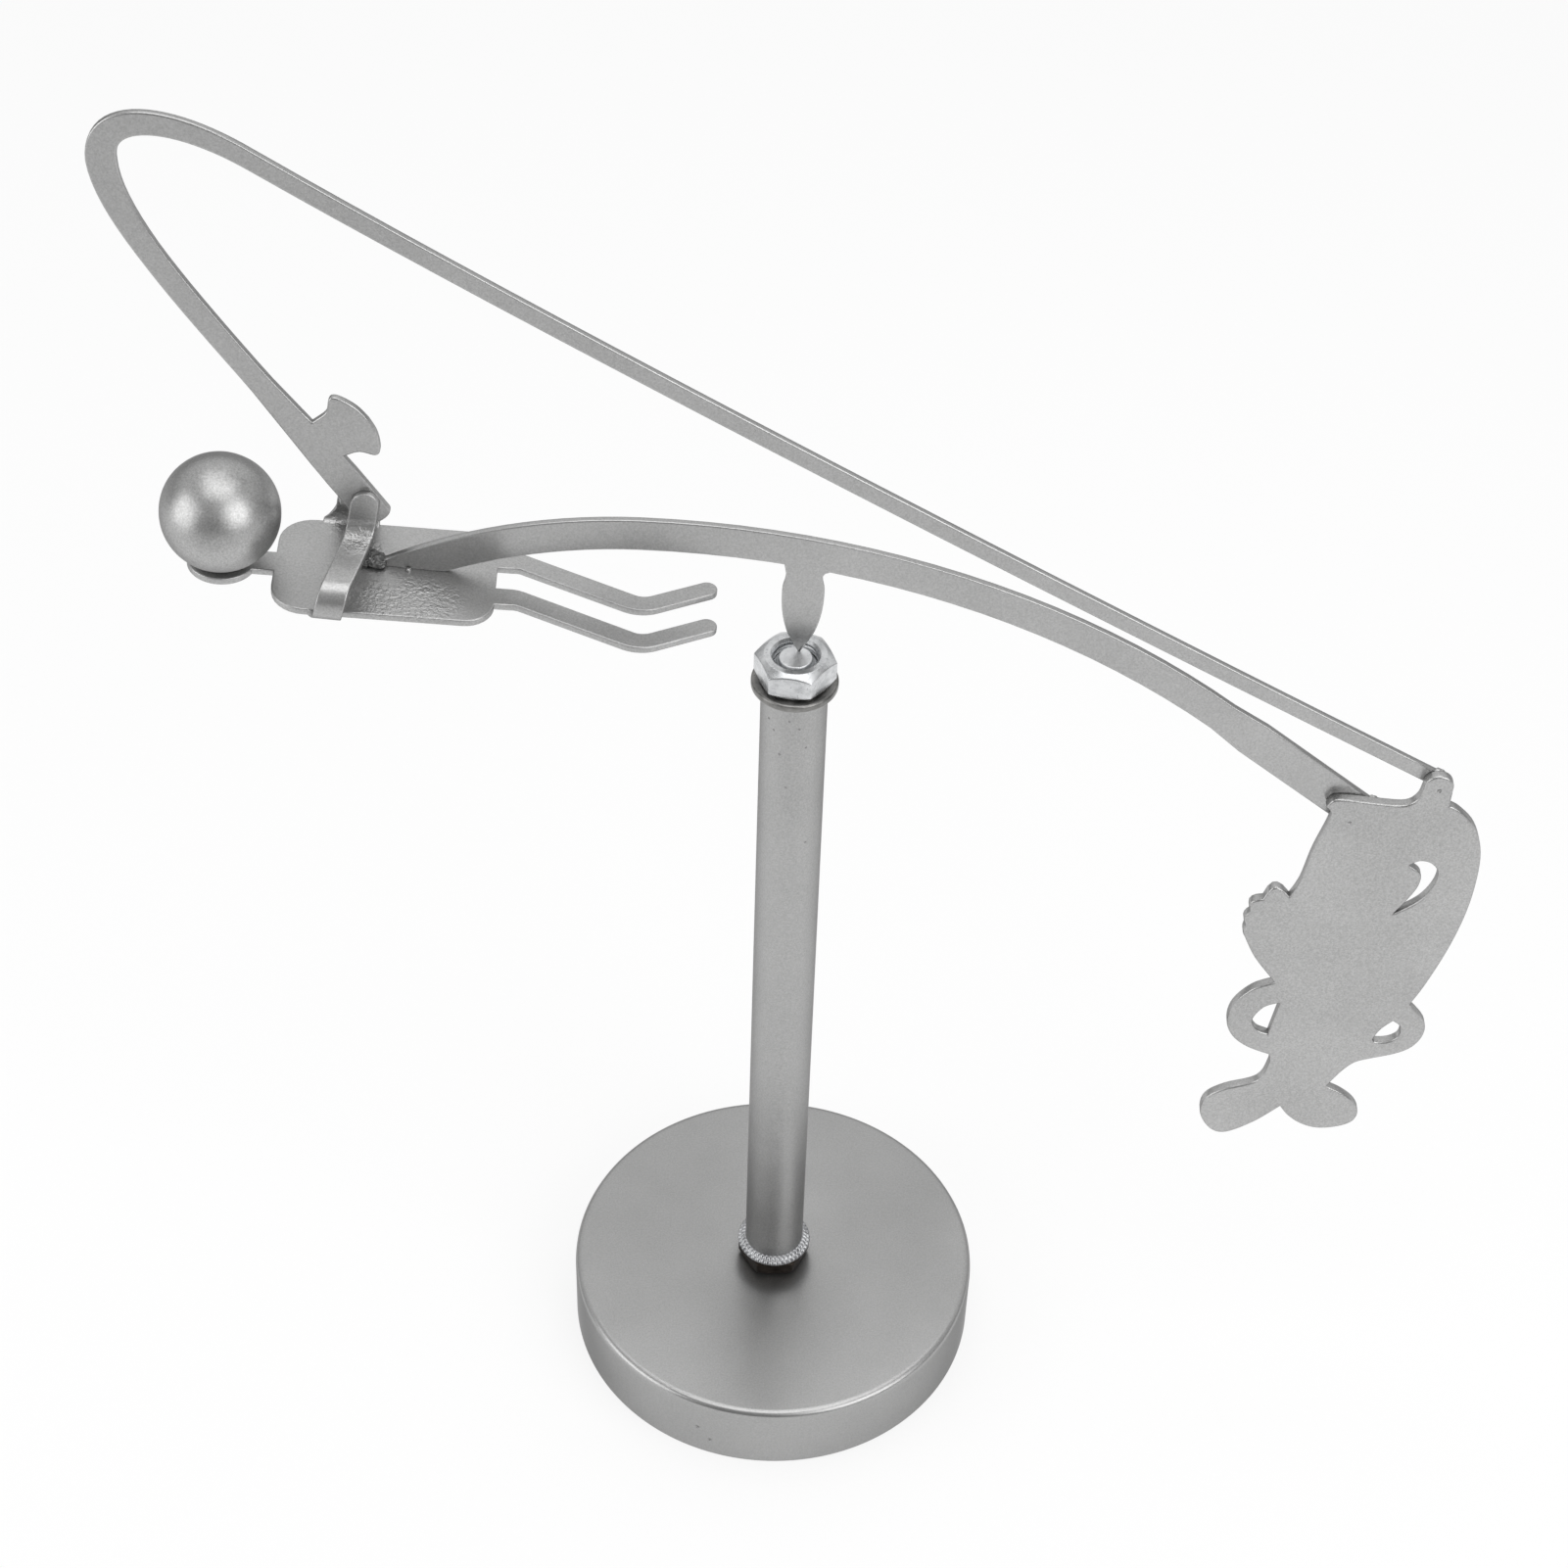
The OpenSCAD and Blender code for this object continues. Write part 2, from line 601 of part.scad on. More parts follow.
belly_tail = [tail_notch, [-11.4, -70.7], [-9.2, -72.5], [-6.5, -73.4], [-3.4, -72.9],
    [-1.2, -71.5], [-0.7, -69.2], [-1.8, -66.9], [-3.9, -65], [-6.4, -63.6]];
belly_fin = [[-6.4, -63.6], [-4.6, -60.1], [-2.9, -57.9], [-0.8, -56.9], [2.9, -55.5],
    [5.2, -53.8], [6.4, -51], [6, -48], [3.3, -44.5]];
belly = [[3.3, -44.5], [4.8, -40.3], [6.8, -32.8], [8.1, -25.4], [8.5, -18.7], [8.1, -12.4],
    [6.4, -7.4], [3.8, -4.4], [ear_side, -3.4]];
ear_right = [[ear_side, -3.4], [ear_side, -0.2]];
ear_left = [[-ear_side, -0.2], [-ear_side - 0.4, -2.2], [-ear_side - 1.8, -3.6], [-7, -3.6],
    [-12, -3.1], [-14.2, -3.3], snout];

// The holes inside both fins, and the gill slit
back_fin_hole = [[-16, -45.3], [-18.2, -46.4], [-19.6, -49.2], [-18.8, -51.3], [-16.9, -52.3]];
belly_fin_hole = [[1.4, -48.3], [-0.1, -50.2], [-0.9, -52.8], [1.2, -52.9], [2.7, -51.6],
    [2.6, -49.4], [1.4, -48.3]];
gill_inner = [[-1.6, -15.4], [0.3, -17], [0.4, -19.5], [-0.7, -22.4], [-2.3, -25.4]];
gill_outer = [[-2.3, -25.4], [0.9, -22.6], [2.5, -19.4], [2.7, -16.6], [1.5, -14.9], [-0.2, -14.5],
    [-1.6, -15.4]];

module fish_outline() {
    difference() {
        union() {
            polygon(concat(smooth_run(fish_run(brow)), scallops,
                [for (run = [flank, back_fin, back_tail, belly_tail, belly_fin, belly, ear_right, ear_left])
                    each smooth_run(fish_run(run))]));
            circle(d = ear_d);
        }
        polygon(concat(smooth_run(fish_run(back_fin_hole)), [fish_run(back_fin_hole)[4]]));
        polygon(smooth_run(fish_run(belly_fin_hole)));
        polygon([for (run = [gill_inner, gill_outer]) each smooth_run(fish_run(run))]);
    }
}

// Fish: thick plate on the front of the beam's end and of the line's end, the counterweight
module fish_plate() {
    color(paint) in_figure() upright(fish_t, sheet_front) translate(ear) fish_outline();
}

// Seat weld: a lump round the point of the beam on the angler's back
module seat_weld() {
    color(paint) difference() {
        at_seat() intersection() {
            translate([-seat_len, man_front, 0]) sphere(r = seat_bead_r);
            translate([-big / 2, -big / 2, 0]) cube(big);
        }
        balance_beam();
    }
}

// Ball weld: a fillet ring between the ball and its disc
module ball_weld() {
    bore = 1.8;
    h = 0.5;
    color(paint) at_body() translate([disc_x, -ball_front, 0]) difference() {
        cylinder(d = ball_fillet_d, h = h);
        translate([0, 0, -past]) cylinder(d = bore, h = h + 2 * past);
        translate([0, 0, ball_r]) sphere(r = ball_r);
    }
}

// Bead on the fish's back, round the tip of the beam
module fish_weld() {
    half = beam_end_w / 2 + bead_r;
    color(paint) difference() {
        in_figure() upright(bead_r, sheet_front + bead_r)
            polygon(strip([beam_tip - beam_end_dir * fish_bead_len, beam_tip + beam_end_dir * bead_r],
                [half, half]));
        balance_beam();
    }
}

// Bead on the ear's back, round the line's end
module line_weld() {
    color(paint) difference() {
        in_figure() translate(in_plane(ear, sheet_front)) rotate([-90, 0, 0])
            cylinder(r = line_end_w / 2 + bead_r / 2, h = sheet_t);
        fishing_rod();
    }
}

base_disc();
through_bolt();
foot_nut();
lock_ring();
post_tube();
top_washer();
pivot_nut();
pivot_point();
balance_beam();
angler_plate();
head_ball();
fishing_rod();
fish_plate();
seat_weld();
ball_weld();
fish_weld();
line_weld();
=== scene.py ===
"""Looks of the counterweight balancing toy: painted sheet steel on a clamped post."""
import math

import bmesh
import bpy
from mathutils import Matrix, Vector, noise
from mathutils.geometry import tessellate_polygon


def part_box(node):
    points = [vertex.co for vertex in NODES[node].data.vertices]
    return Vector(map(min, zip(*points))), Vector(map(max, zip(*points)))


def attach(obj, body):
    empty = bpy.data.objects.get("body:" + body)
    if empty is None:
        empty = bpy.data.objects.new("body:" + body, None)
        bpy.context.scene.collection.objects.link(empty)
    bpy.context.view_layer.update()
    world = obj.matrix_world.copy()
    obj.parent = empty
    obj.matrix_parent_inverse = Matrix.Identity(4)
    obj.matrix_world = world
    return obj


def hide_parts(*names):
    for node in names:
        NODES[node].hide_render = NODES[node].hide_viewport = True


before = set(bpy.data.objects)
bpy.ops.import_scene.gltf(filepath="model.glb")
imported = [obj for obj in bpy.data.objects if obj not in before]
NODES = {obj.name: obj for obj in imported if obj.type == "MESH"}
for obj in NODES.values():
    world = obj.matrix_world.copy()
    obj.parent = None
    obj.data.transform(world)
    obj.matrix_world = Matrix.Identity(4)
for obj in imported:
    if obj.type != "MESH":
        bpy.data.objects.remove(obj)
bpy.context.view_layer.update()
SCENE = bpy.context.scene
MM = 0.001


# Material helpers

# noise scales per metre
GRAIN_SCALE, CLOUD_SCALE, PEEL_SCALE, RIPPLE_SCALE = 3800, 55, 1100, 1600
STREAK_SCALE, BLOTCH_SCALE, SPECK_SCALE = 700, 420, 3000
STREAK_STRETCH = (1.0, 0.25, 2.4)
# the part of a noise's range that most of the surface has
MOST = (0.3, 0.7)
# bump heights in metres
GRAIN_HEIGHT, PEEL_HEIGHT, WRINKLE_HEIGHT, PIT_DEPTH = 1.1e-5, 1.4e-5, 2.0e-4, 1.5e-4
PAINT_TONE, TONE_SWING, PIT_SHADE = 0.46, 0.2, 0.9
PAINT_METALLIC, PAINT_EDGE_TINT = 0.95, (0.4, 0.4, 0.4, 1)


def new_material(name):
    """A node material with its principled shader and object coordinates."""
    mat = bpy.data.materials.new(name)
    mat.use_nodes = True
    tree = mat.node_tree
    shader = tree.nodes["Principled BSDF"]
    coords = tree.nodes.new("ShaderNodeTexCoord").outputs["Object"]
    return mat, tree, shader, coords


def noise_tex(tree, coords, scale, detail=2.0, rough=0.55, distortion=0.0, stretch=None):
    """Noise from 0 to 1 at the given scale per metre, drawn out along an axis if asked."""
    if stretch:
        mapping = tree.nodes.new("ShaderNodeMapping")
        mapping.inputs["Scale"].default_value = stretch
        tree.links.new(coords, mapping.inputs["Vector"])
        coords = mapping.outputs["Vector"]
    tex = tree.nodes.new("ShaderNodeTexNoise")
    tex.inputs["Scale"].default_value = scale
    tex.inputs["Detail"].default_value = detail
    tex.inputs["Roughness"].default_value = rough
    tex.inputs["Distortion"].default_value = distortion
    tree.links.new(coords, tex.inputs["Vector"])
    return tex.outputs["Fac"]


def remap(tree, value, lo, hi, to_lo, to_hi, smooth=False):
    """A value mapped from one range to another, held at the ends."""
    node = tree.nodes.new("ShaderNodeMapRange")
    node.interpolation_type = "SMOOTHSTEP" if smooth else "LINEAR"
    node.inputs["From Min"].default_value = lo
    node.inputs["From Max"].default_value = hi
    node.inputs["To Min"].default_value = to_lo
    node.inputs["To Max"].default_value = to_hi
    tree.links.new(value, node.inputs["Value"])
    return node.outputs["Result"]


def math_node(tree, kind, a, b):
    """One arithmetic step on sockets or plain numbers."""
    node = tree.nodes.new("ShaderNodeMath")
    node.operation = kind
    for socket, value in zip(node.inputs, (a, b)):
        if isinstance(value, (int, float)):
            socket.default_value = value
        else:
            tree.links.new(value, socket)
    return node.outputs["Value"]


def weighted(tree, a, a_share, b, b_share):
    """Two values added, each times its share."""
    return math_node(tree, "ADD", math_node(tree, "MULTIPLY", a, a_share),
                     math_node(tree, "MULTIPLY", b, b_share))


def near(tree, coords, spots):
    """A mask that is 1 in the middle of the given spots (x, y, z, radius in mm) and 0 outside."""
    mask = 0.0
    for x, y, z, radius in spots:
        gap = tree.nodes.new("ShaderNodeVectorMath")
        gap.operation = "DISTANCE"
        gap.inputs[1].default_value = (x * MM, y * MM, z * MM)
        tree.links.new(coords, gap.inputs[0])
        inside = remap(tree, gap.outputs["Value"], radius * 0.25 * MM, radius * MM, 1.0, 0.0, True)
        mask = math_node(tree, "MAXIMUM", mask, inside)
    return mask


def tint(tree, value, dark, light):
    """A grey that runs between two tones with a value from 0 to 1."""
    ramp = tree.nodes.new("ShaderNodeValToRGB")
    ramp.color_ramp.elements[0].color = (*dark, 1)
    ramp.color_ramp.elements[1].color = (*light, 1)
    tree.links.new(value, ramp.inputs["Fac"])
    return ramp.outputs["Color"]


def set_height(tree, shader, height):
    """Bump from a height in metres."""
    bump = tree.nodes.new("ShaderNodeBump")
    bump.inputs["Strength"].default_value = 1.0
    bump.inputs["Distance"].default_value = 1.0
    tree.links.new(height, bump.inputs["Height"])
    tree.links.new(bump.outputs["Normal"], shader.inputs["Normal"])


def silver_paint(name, tone=PAINT_TONE, gloss=(0.27, 0.33), grit=1.0, wrinkled=(), pits=()):
    """Satin silver paint: fine metallic grain, cloudy tone, wrinkles near welds and small pits."""
    mat, tree, shader, coords = new_material(name)
    grain = noise_tex(tree, coords, GRAIN_SCALE, 2, 0.75)
    cloud = noise_tex(tree, coords, CLOUD_SCALE, 4, 0.55)
    peel = noise_tex(tree, coords, PEEL_SCALE, 2, 0.5)
    speck = weighted(tree, grain, 0.7, cloud, 0.3)
    if pits:
        pit = near(tree, coords, pits)
        speck = math_node(tree, "SUBTRACT", speck, math_node(tree, "MULTIPLY", pit, PIT_SHADE))
    shade = remap(tree, speck, *MOST, 0.0, 1.0)
    swing = TONE_SWING * grit
    dark = [tone * (1 - swing)] * 2 + [tone * (0.995 - swing)]
    light = [tone * (1 + swing)] * 2 + [tone * (0.995 + swing)]
    tree.links.new(tint(tree, shade, dark, light), shader.inputs["Base Color"])
    shader.inputs["Metallic"].default_value = PAINT_METALLIC
    shader.inputs["Specular Tint"].default_value = PAINT_EDGE_TINT
    tree.links.new(remap(tree, cloud, *MOST, *gloss), shader.inputs["Roughness"])
    height = weighted(tree, grain, GRAIN_HEIGHT * grit, peel, PEEL_HEIGHT * grit)
    if wrinkled:
        ripple = noise_tex(tree, coords, RIPPLE_SCALE, 2, 0.55, 0.6)
        folds = math_node(tree, "MULTIPLY", near(tree, coords, wrinkled), ripple)
        height = math_node(tree, "ADD", height, math_node(tree, "MULTIPLY", folds, WRINKLE_HEIGHT))
    if pits:
        height = math_node(tree, "SUBTRACT", height, math_node(tree, "MULTIPLY", pit, PIT_DEPTH))
    set_height(tree, shader, height)
    return mat


def bare_metal(name, dark, light, rough, scratch, speckle=0.0):
    """Plated or bare metal: scratches, blotches in tone and gloss, and fine dark specks."""
    mat, tree, shader, coords = new_material(name)
    streak = noise_tex(tree, coords, STREAK_SCALE, 3, 0.6, 0.3, STREAK_STRETCH)
    blotch = noise_tex(tree, coords, BLOTCH_SCALE, 3, 0.6)
    speck = noise_tex(tree, coords, SPECK_SCALE, 2, 0.7)
    mixed = weighted(tree, blotch, 0.65, streak, 0.35)
    dots = remap(tree, speck, 0.62, 0.74, 0.0, speckle)
    shade = remap(tree, math_node(tree, "SUBTRACT", mixed, dots), 0.35, 0.65, 0.0, 1.0)
    tree.links.new(tint(tree, shade, dark, light), shader.inputs["Base Color"])
    shader.inputs["Metallic"].default_value = 1.0
    tree.links.new(remap(tree, blotch, *MOST, rough * 0.8, rough * 1.25),
                   shader.inputs["Roughness"])
    set_height(tree, shader, weighted(tree, streak, scratch, speck, scratch * 0.5))
    return mat


# Mesh helpers; lengths are in millimetres until a point goes into a mesh

def in_mm(box):
    """A box's two corners in millimetres."""
    return [[c / MM for c in corner] for corner in box]


def middle_of(box):
    """The middle of a box in millimetres."""
    return [(a + b) / 2 / MM for a, b in zip(*box)]


def finish_mesh(bm, name, sharp_deg=32):
    """A mesh from bmesh data: smooth faces, sharp only where they really fold."""
    bmesh.ops.recalc_face_normals(bm, faces=bm.faces)
    mesh = bpy.data.meshes.new(name)
    bm.to_mesh(mesh)
    bm.free()
    mesh.shade_smooth()
    mesh.set_sharp_from_angle(angle=math.radians(sharp_deg))
    return mesh


def place(name, mesh, body, material, slot, *stands_for):
    """Puts a piece in the scene, on its body, in the place of its CAD nodes."""
    mesh.materials.clear()
    mesh.materials.append(material)
    piece = bpy.data.objects.new(name, mesh)
    SCENE.collection.objects.link(piece)
    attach(piece, body)
    if stands_for:
        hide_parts(*stands_for)


def ring_mesh(bm, rings, wrap):
    """Quads between rings of points; wrap joins the last ring to the first."""
    grid = [[bm.verts.new(p) for p in ring] for ring in rings]
    steps = len(grid[0])
    pairs = list(zip(grid, grid[1:])) + ([(grid[-1], grid[0])] if wrap else [])
    for low, high in pairs:
        for i in range(steps):
            j = (i + 1) % steps
            bm.faces.new((low[i], low[j], high[j], high[i]))
    return grid


def capped_mesh(name, rings, sharp_deg):
    """A closed mesh over rings of points, with a flat face on the first and on the last."""
    bm = bmesh.new()
    grid = ring_mesh(bm, rings, False)
    bm.faces.new(grid[0])
    bm.faces.new(grid[-1])
    return finish_mesh(bm, name, sharp_deg)


def wrapped_mesh(name, rings, sharp_deg=32):
    """A closed mesh over rings of points that come back to the first ring."""
    bm = bmesh.new()
    ring_mesh(bm, rings, True)
    return finish_mesh(bm, name, sharp_deg)


def angles(steps):
    """Evenly spaced angles of one full turn."""
    return [2 * math.pi * i / steps for i in range(steps)]


def polar(r, angle, z):
    """A point in metres from its radius, angle and height."""
    return (r * MM * math.cos(angle), r * MM * math.sin(angle), z * MM)


def circle_points(r, z, steps):
    """One round of a lathe."""
    return [polar(r, a, z) for a in angles(steps)]


def filleted(corners, arc=5):
    """A profile with its corners (r, z, fillet) rounded."""
    out = []
    n = len(corners)
    for i, (x, z, fillet) in enumerate(corners):
        p = Vector((x, z))
        if fillet == 0:
            out.append(p)
            continue
        u = (Vector(corners[i - 1][:2]) - p).normalized()
        v = (Vector(corners[(i + 1) % n][:2]) - p).normalized()
        half = math.acos(max(-1, min(1, u.dot(v)))) / 2
        reach = fillet / math.tan(half)
        a, b = p + u * reach, p + v * reach
        for k in range(arc + 1):
            t = k / arc
            out.append(a * (1 - t) ** 2 + p * 2 * t * (1 - t) + b * t * t)
    return out


def lathe(name, corners, steps):
    """A turned ring with the given closed profile."""
    return wrapped_mesh(name, [circle_points(p.x, p.y, steps) for p in filleted(corners)])


def flat_face(node, toward, across):
    """The outlines and the depth of the CAD node's largest flat face that looks one way."""
    bm = bmesh.new()
    bm.from_mesh(NODES[node].data)
    bmesh.ops.remove_doubles(bm, verts=bm.verts, dist=4e-6)
    bm.verts.index_update()
    up = toward.cross(across)
    facing = [(f, f.calc_center_median().dot(toward) / MM)
              for f in bm.faces if f.normal.dot(toward) > 0.999]
    area = {}
    for f, depth in facing:
        level = round(depth, 2)
        area[level] = area.get(level, 0) + f.calc_area()
    front = max(area, key=area.get)
    follows = {}  # not a set, because the order is kept
    for f, depth in facing:
        if abs(depth - front) < 0.02:
            for corner in f.loops:
                follows[(corner.vert.index, corner.link_loop_next.vert.index)] = True
    rim = {a: b for a, b in follows if (b, a) not in follows}
    bm.verts.ensure_lookup_table()
    loops = []
    while rim:
        at = next(iter(rim))
        loop = []
        while at in rim:
            co = bm.verts[at].co / MM
            loop.append(Vector((co.dot(across), co.dot(up))))
            at = rim.pop(at)
        loops.append(loop)
    bm.free()
    return loops, front


def thinned(loop, least=0.03):
    """An outline without its points that lie closer together than a set distance."""
    out = []
    for p in loop:
        if not out or (p - out[-1]).length > least:
            out.append(p)
    if (out[0] - out[-1]).length < least:
        out.pop()
    return out


def inset(loop, depth):
    """An outline moved into its sheet, which lies on its left."""
    out = []
    for i, p in enumerate(loop):
        a = (p - loop[i - 1]).normalized()
        b = (loop[(i + 1) % len(loop)] - p).normalized()
        m = Vector((-a.y - b.y, a.x + b.x))
        out.append(p + m * min(2 / max(m.length_squared, 1e-6), 2 / max(m.length, 1e-3)) * depth)
    return out


def edge_steps(edge, thick, arc=4):
    """Insets and depths over a sheet's rounded edge, from its front face to its back."""
    steps = [(edge + 0.1, 0.0)]
    for k in range(arc + 1):
        t = math.pi / 2 * k / arc
        steps.append((edge * (1 - math.sin(t)), edge * (1 - math.cos(t))))
    return steps + [(i, thick - d) for i, d in reversed(steps)]


def sheet(name, loops, front, thick, toward, across, edge):
    """A flat sheet with the given outlines and rounded edges."""
    up = toward.cross(across)
    bm = bmesh.new()
    caps = []
    steps = edge_steps(edge, thick)
    for loop in loops:
        loop = thinned(loop)
        rings = [[(across * q.x + up * q.y + toward * (front - d)) * MM for q in inset(loop, i)]
                 for i, d in steps]
        caps.append(ring_mesh(bm, rings, False))
    for level in (0, -1):
        verts = [v for grid in caps for v in grid[level]]
        flat = [[Vector((v.co.dot(across), v.co.dot(up), 0)) for v in grid[level]]
                for grid in caps]
        for tri in tessellate_polygon(flat):
            bm.faces.new([verts[i] for i in tri])
    return finish_mesh(bm, name, 60)


def upright_sheet(node, thick, edge, shaped=None):
    """A CAD sheet in the figure's plane, with rounded edges and its outline shaped if asked."""
    toward, across = Vector((0, -1, 0)), Vector((1, 0, 0))
    loops, front = flat_face(node, toward, across)
    if shaped:
        loops = [shaped(loop) for loop in loops]
    return sheet(node + "_mesh", loops, front, thick, toward, across, edge)


def lump(name, blobs, roughen, seed, level=4):
    """Weld metal: balls (centre, radii) run into each other and made uneven."""
    bm = bmesh.new()
    for n, (centre, radii) in enumerate(blobs):
        made = bmesh.ops.create_icosphere(bm, subdivisions=level, radius=1.0)["verts"]
        for v in made:
            swell = 1 + roughen * noise.noise(v.co * 2.1 + Vector((seed + 3.7 * n, 0, 0)))
            v.co = Vector([c + d * r * swell for c, d, r in zip(centre, v.co, radii)]) * MM
    return finish_mesh(bm, name, 80)


# Materials of this toy; pits and wrinkled spots are x, y, z and radius

lo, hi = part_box("head_ball")
BALL, BALL_R = middle_of((lo, hi)), (hi[2] - lo[2]) / 2 / MM
SEAT_TIP = middle_of(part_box("seat_weld"))

BASE_PITS = [(-10.8, -30.6, 6.1, 0.4), (-8.8, -31.3, 3.7, 0.35)]
POST_PITS = [(-3.3, -3.2, 133.7, 0.22), (-0.5, -4.6, 134.4, 0.2), (0.9, -4.6, 133.0, 0.22),
             (-2.6, -3.8, 132.1, 0.2), (1.9, -4.2, 129.4, 0.2), (-1.7, -4.3, 128.0, 0.25),
             (-0.7, -4.6, 122.0, 0.2), (2.4, -4.0, 111.0, 0.2)]
FISH_PITS = [(79.1, -0.9, 116.3, 0.3), (90.6, -0.9, 123.1, 0.4)]
ANGLER_WRINKLES = [(-49.7, -5.5, 154.1, 7.5), (-55, -6, 154.5, 5.5), (-61.5, 8.5, 157.5, 5),
                   (-58, -1.5, 160.3, 3.5), (-58, 2.5, 154.8, 5)]

paint = silver_paint("silver_paint")
paint_base = silver_paint("silver_paint_base", 0.41, (0.28, 0.34), 0.8, pits=BASE_PITS)
paint_post = silver_paint("silver_paint_post", 0.45, (0.36, 0.42), 1.0, pits=POST_PITS)
paint_fish = silver_paint("silver_paint_fish", grit=1.3, pits=FISH_PITS)
paint_angler = silver_paint("silver_paint_angler", PAINT_TONE, (0.34, 0.42), 1.2,
                            wrinkled=ANGLER_WRINKLES)
# the weld lumps: a dark tone that is painted shade, for the shadow in the gap under the ball and
# round the beam's tip
painted_shade_weld_coat = silver_paint("weld_coat_painted_shade", 0.17, (0.4, 0.5), 1.5, wrinkled=[(*SEAT_TIP, 6)])
paint_ball = silver_paint("silver_paint_ball", 0.45, (0.33, 0.4), 1.6)
bright_zinc = bare_metal("bright_zinc", (0.46, 0.47, 0.48), (0.78, 0.79, 0.8), 0.28, 1.4e-5, 0.5)
ring_zinc = bare_metal("ring_zinc", (0.3, 0.3, 0.31), (0.6, 0.61, 0.62), 0.36, 1.6e-5, 0.6)
bolt_zinc = bare_metal("bolt_zinc", (0.6, 0.61, 0.62), (0.92, 0.93, 0.94), 0.36, 1.6e-5, 0.5)
dull_steel = bare_metal("dull_steel", (0.13, 0.13, 0.125), (0.34, 0.335, 0.325), 0.34, 2.0e-5, 0.2)
# the thin nut: dark steel of its own, darkened further to near black as painted shade for the deep
# shadow under the lock ring
dark_steel = bare_metal("dark_steel", (0.014, 0.011, 0.009), (0.06, 0.05, 0.042), 0.5, 2.0e-5)


# Stand

BORE, TUBE_BORE = 3.2, 3.55
COUNTER_R, COUNTER_H = 7.5, 5.0
NUT_FLATS, NUT_BORE = 10, 3.05
THREAD_R, THREAD_ROOT, PITCH_MM = 3.0, 2.66, 1.0
CUP_NUT_TURN, FOOT_NUT_TURN = -7, 4

lo, hi = in_mm(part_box("base_disc"))
place("base", lathe("base_mesh", [(BORE, hi[2], 0.3), (hi[0], hi[2], 1.25), (hi[0], 0, 0.5),
                                  (COUNTER_R, 0, 0.3), (COUNTER_R, COUNTER_H, 0.2),
                                  (BORE, COUNTER_H, 0)], 360),
      "stand", paint_base, "silver_paint", "base_disc")

lo, hi = in_mm(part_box("post_tube"))
place("post", lathe("post_mesh", [(TUBE_BORE, lo[2], 0.1), (hi[0], lo[2], 0.25),
                                  (hi[0], hi[2], 0.25), (TUBE_BORE, hi[2], 0.1)], 128),
      "stand", paint_post, "silver_paint", "post_tube")

lo, hi = in_mm(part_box("top_washer"))
place("washer", lathe("washer_mesh", [(BORE, lo[2], 0.1), (hi[0], lo[2], 0.3),
                                      (hi[0], hi[2], 0.42), (BORE, hi[2], 0.15)], 160),
      "stand", dull_steel, "raw_steel", "top_washer")


def hex_nut(name, z0, z1, turn_deg, steps=360):
    """A hex nut with turned chamfers that leave curved edges on its flats, and a threaded bore."""
    flat_r = NUT_FLATS / 2
    land = flat_r * 0.86
    slope = math.tan(math.radians(30))
    soft, crisp = 0.09, 160
    h = z1 - z0
    turns = [math.radians(turn_deg + 30 + 60 * k) for k in range(6)]

    def side(angle):
        spread = sum(max(0.0, math.cos(angle - t)) ** crisp for t in turns) ** (1 / crisp)
        return flat_r / spread

    def ring(radius_of, z_of):
        points = []
        for a in angles(steps):
            r = radius_of(a)
            points.append(polar(r, a, z0 + z_of(r, a)))
        return points

    def flat(r, z, climb=0.0):
        return ring(lambda a: r, lambda _, a: z + climb * math.cos(a - math.radians(30)))

    def on_side(inset_by, drop, top):
        """A round of the flats, at a set drop below their curved upper edge or above the lower."""
        def height(r, _):
            edge = (r + inset_by - land) * slope
            return h - edge - drop if top else edge + drop
        return ring(lambda a: side(a) - inset_by, height)

    depth, climb, mouth = 0.3, 0.16, 0.42
    threads = []
    z = h - 0.95
    while z > 0.9:
        threads += [flat(NUT_BORE, z, climb), flat(NUT_BORE + depth, z - depth, climb),
                    flat(NUT_BORE, z - 2 * depth, climb)]
        z -= PITCH_MM
    chamfer = [(soft * 2, -soft * 2 * slope), (soft, -soft * slope), (soft * 0.3, soft * 0.3),
               (0, soft), (0, soft * 3)]
    rings = [flat(NUT_BORE + 0.35, 0), flat(land - soft, 0), flat(land, 0),
             flat(land + soft, soft * slope)]
    rings += [on_side(i, d, False) for i, d in chamfer]
    rings += [on_side(i, d, True) for i, d in reversed(chamfer)]
    rings += [flat(land + soft, h - soft * slope), flat(land, h), flat(land - soft, h),
              flat(NUT_BORE + mouth + soft, h), flat(NUT_BORE + mouth, h),
              flat(NUT_BORE + 0.36, h - soft), flat(NUT_BORE + 0.04, h - mouth)]
    rings += threads + [flat(NUT_BORE, 0.35)]
    return wrapped_mesh(name, rings, 70)


lo, hi = in_mm(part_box("pivot_nut"))
place("cup_nut", hex_nut("cup_nut_mesh", lo[2], hi[2], CUP_NUT_TURN),
      "stand", bright_zinc, "zinc", "pivot_nut")
# the thin nut's near-black colour is partly painted shade, for the shadow under the lock ring
lo, hi = in_mm(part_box("foot_nut"))
place("thin_nut", hex_nut("thin_nut_mesh", lo[2], hi[2], FOOT_NUT_TURN),
      "stand", dark_steel, "dark_steel", "foot_nut")


